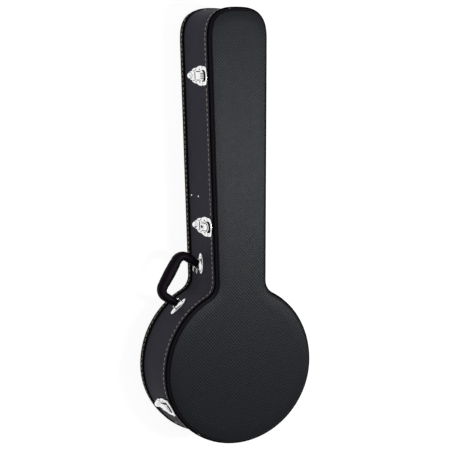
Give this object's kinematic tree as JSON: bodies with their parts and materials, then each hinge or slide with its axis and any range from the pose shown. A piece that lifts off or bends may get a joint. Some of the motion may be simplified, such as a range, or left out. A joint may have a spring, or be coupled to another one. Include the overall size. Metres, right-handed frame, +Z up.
{
  "type": "banjo case",
  "caption": "Hard case for a banjo, with a round pot end, a straight neck end, a hinged lid, draw latches and a padded carrying handle.",
  "frame": {"origin": "on the floor, under the middle of the round pot end, with the case lying on its back", "axes": "+Z up through the lid, +Y from the pot end to the headstock end, handle and latches on the -X side"},
  "size_m": [0.4086, 1.0536, 0.1576],
  "materials": {
    "covering_vinyl": "satin black vinyl over plywood, edges stitched",
    "panel_vinyl": "satin black grained vinyl over plywood",
    "binding_vinyl": "smooth satin black vinyl binding",
    "plush_lining": "soft dark plush on thin board",
    "plush_foam": "soft dark plush over light foam",
    "nickel_plate": "bright nickel plate",
    "handle_leather": "smooth dark leather, stitched edges"
  },
  "bodies": {
    "shell": {"shell_wall": "covering_vinyl", "back_panel": "panel_vinyl", "back_piping": "binding_vinyl", "shell_liner": "plush_lining", "floor_lining": "plush_lining", "pot_pad": "plush_foam", "neck_cradle": "plush_foam", "compartment_end_wall": "plush_lining", "cradle_rivet_1_1": "nickel_plate", "cradle_rivet_1_2": "nickel_plate", "cradle_rivet_2_1": "nickel_plate", "cradle_rivet_2_2": "nickel_plate", "latch_1_base": "nickel_plate", "latch_2_base": "nickel_plate", "latch_3_base": "nickel_plate", "latch_1_pin": "nickel_plate", "latch_2_pin": "nickel_plate", "latch_3_pin": "nickel_plate", "base_rivet_1_1": "nickel_plate", "base_rivet_1_2": "nickel_plate", "base_rivet_2_1": "nickel_plate", "base_rivet_2_2": "nickel_plate", "base_rivet_3_1": "nickel_plate", "base_rivet_3_2": "nickel_plate", "handle_plate_upper": "nickel_plate", "handle_plate_lower": "nickel_plate", "handle_loop_upper": "nickel_plate", "handle_loop_lower": "nickel_plate", "hinge_pot_shell_leaf": "nickel_plate", "hinge_neck_shell_leaf": "nickel_plate", "hinge_pot_pin": "nickel_plate", "hinge_neck_pin": "nickel_plate"},
    "lid": {"lid_wall": "covering_vinyl", "lid_edge": "binding_vinyl", "lid_panel": "panel_vinyl", "lid_piping": "binding_vinyl", "lid_lining": "plush_lining", "lid_liner": "plush_lining", "latch_1_strike": "nickel_plate", "latch_2_strike": "nickel_plate", "latch_3_strike": "nickel_plate", "strike_rivet_1_1": "nickel_plate", "strike_rivet_1_2": "nickel_plate", "strike_rivet_2_1": "nickel_plate", "strike_rivet_2_2": "nickel_plate", "strike_rivet_3_1": "nickel_plate", "strike_rivet_3_2": "nickel_plate", "hinge_pot_lid_leaf": "nickel_plate", "hinge_neck_lid_leaf": "nickel_plate"},
    "latch_1_lever": {"latch_1_lever": "nickel_plate"},
    "latch_1_hook": {"latch_1_hook": "nickel_plate"},
    "latch_2_lever": {"latch_2_lever": "nickel_plate"},
    "latch_2_hook": {"latch_2_hook": "nickel_plate"},
    "latch_3_lever": {"latch_3_lever": "nickel_plate"},
    "latch_3_hook": {"latch_3_hook": "nickel_plate"},
    "lock": {"lock_cylinder": "nickel_plate"},
    "compartment_cover": {"compartment_cover": "plush_lining", "compartment_pull": "handle_leather"},
    "handle": {"handle_grip": "handle_leather"}
  },
  "joints": [
    {"name": "lid_hinge", "type": "hinge", "parent": "shell", "child": "lid", "pos_m": [0.20017, 0.03127, 0.116], "axis": [-0.1544, 0.988, 0], "range_deg": [0, 105]},
    {"name": "latch_1_swing", "type": "hinge", "parent": "shell", "child": "latch_1_lever", "pos_m": [-0.08371, 0.70485, 0.094], "axis": [0.0309, -0.9995, 0], "range_deg": [0, 120]},
    {"name": "latch_1_hook_swing", "type": "hinge", "parent": "latch_1_lever", "child": "latch_1_hook", "pos_m": [-0.08281, 0.70488, 0.104], "axis": [0.0309, -0.9995, 0], "range_deg": [-60, 0]},
    {"name": "latch_2_swing", "type": "hinge", "parent": "shell", "child": "latch_2_lever", "pos_m": [-0.07257, 0.34485, 0.094], "axis": [0.0309, -0.9995, 0], "range_deg": [0, 120]},
    {"name": "latch_2_hook_swing", "type": "hinge", "parent": "latch_2_lever", "child": "latch_2_hook", "pos_m": [-0.07167, 0.34488, 0.104], "axis": [0.0309, -0.9995, 0], "range_deg": [-60, 0]},
    {"name": "latch_3_swing", "type": "hinge", "parent": "shell", "child": "latch_3_lever", "pos_m": [-0.17979, -0.08576, 0.09408], "axis": [0.4675, -0.8797, 0.0872], "range_deg": [0, 120]},
    {"name": "latch_3_hook_swing", "type": "hinge", "parent": "latch_3_lever", "child": "latch_3_hook", "pos_m": [-0.17941, -0.08457, 0.10405], "axis": [0.4675, -0.8797, 0.0872], "range_deg": [-60, 0]},
    {"name": "lock_turn", "type": "hinge", "parent": "latch_2_lever", "child": "lock", "pos_m": [-0.07377, 0.34481, 0.105], "axis": [-0.9995, -0.0309, 0], "range_deg": [0, 90]},
    {"name": "compartment_hinge", "type": "hinge", "parent": "shell", "child": "compartment_cover", "pos_m": [0.0009, 0.49625, 0.064], "axis": [-1, 0, 0], "range_deg": [0, 95]},
    {"name": "handle_swing", "type": "hinge", "parent": "shell", "child": "handle", "pos_m": [-0.10868, 0.20774, 0.08], "axis": [0.5272, 0.8498, 0], "range_deg": [-85, 85]}
  ],
  "couplings": [
    {"joint": "latch_1_hook_swing", "follows": "latch_1_swing", "ratio": -0.5},
    {"joint": "latch_2_hook_swing", "follows": "latch_2_swing", "ratio": -0.5},
    {"joint": "latch_3_hook_swing", "follows": "latch_3_swing", "ratio": -0.5}
  ]
}
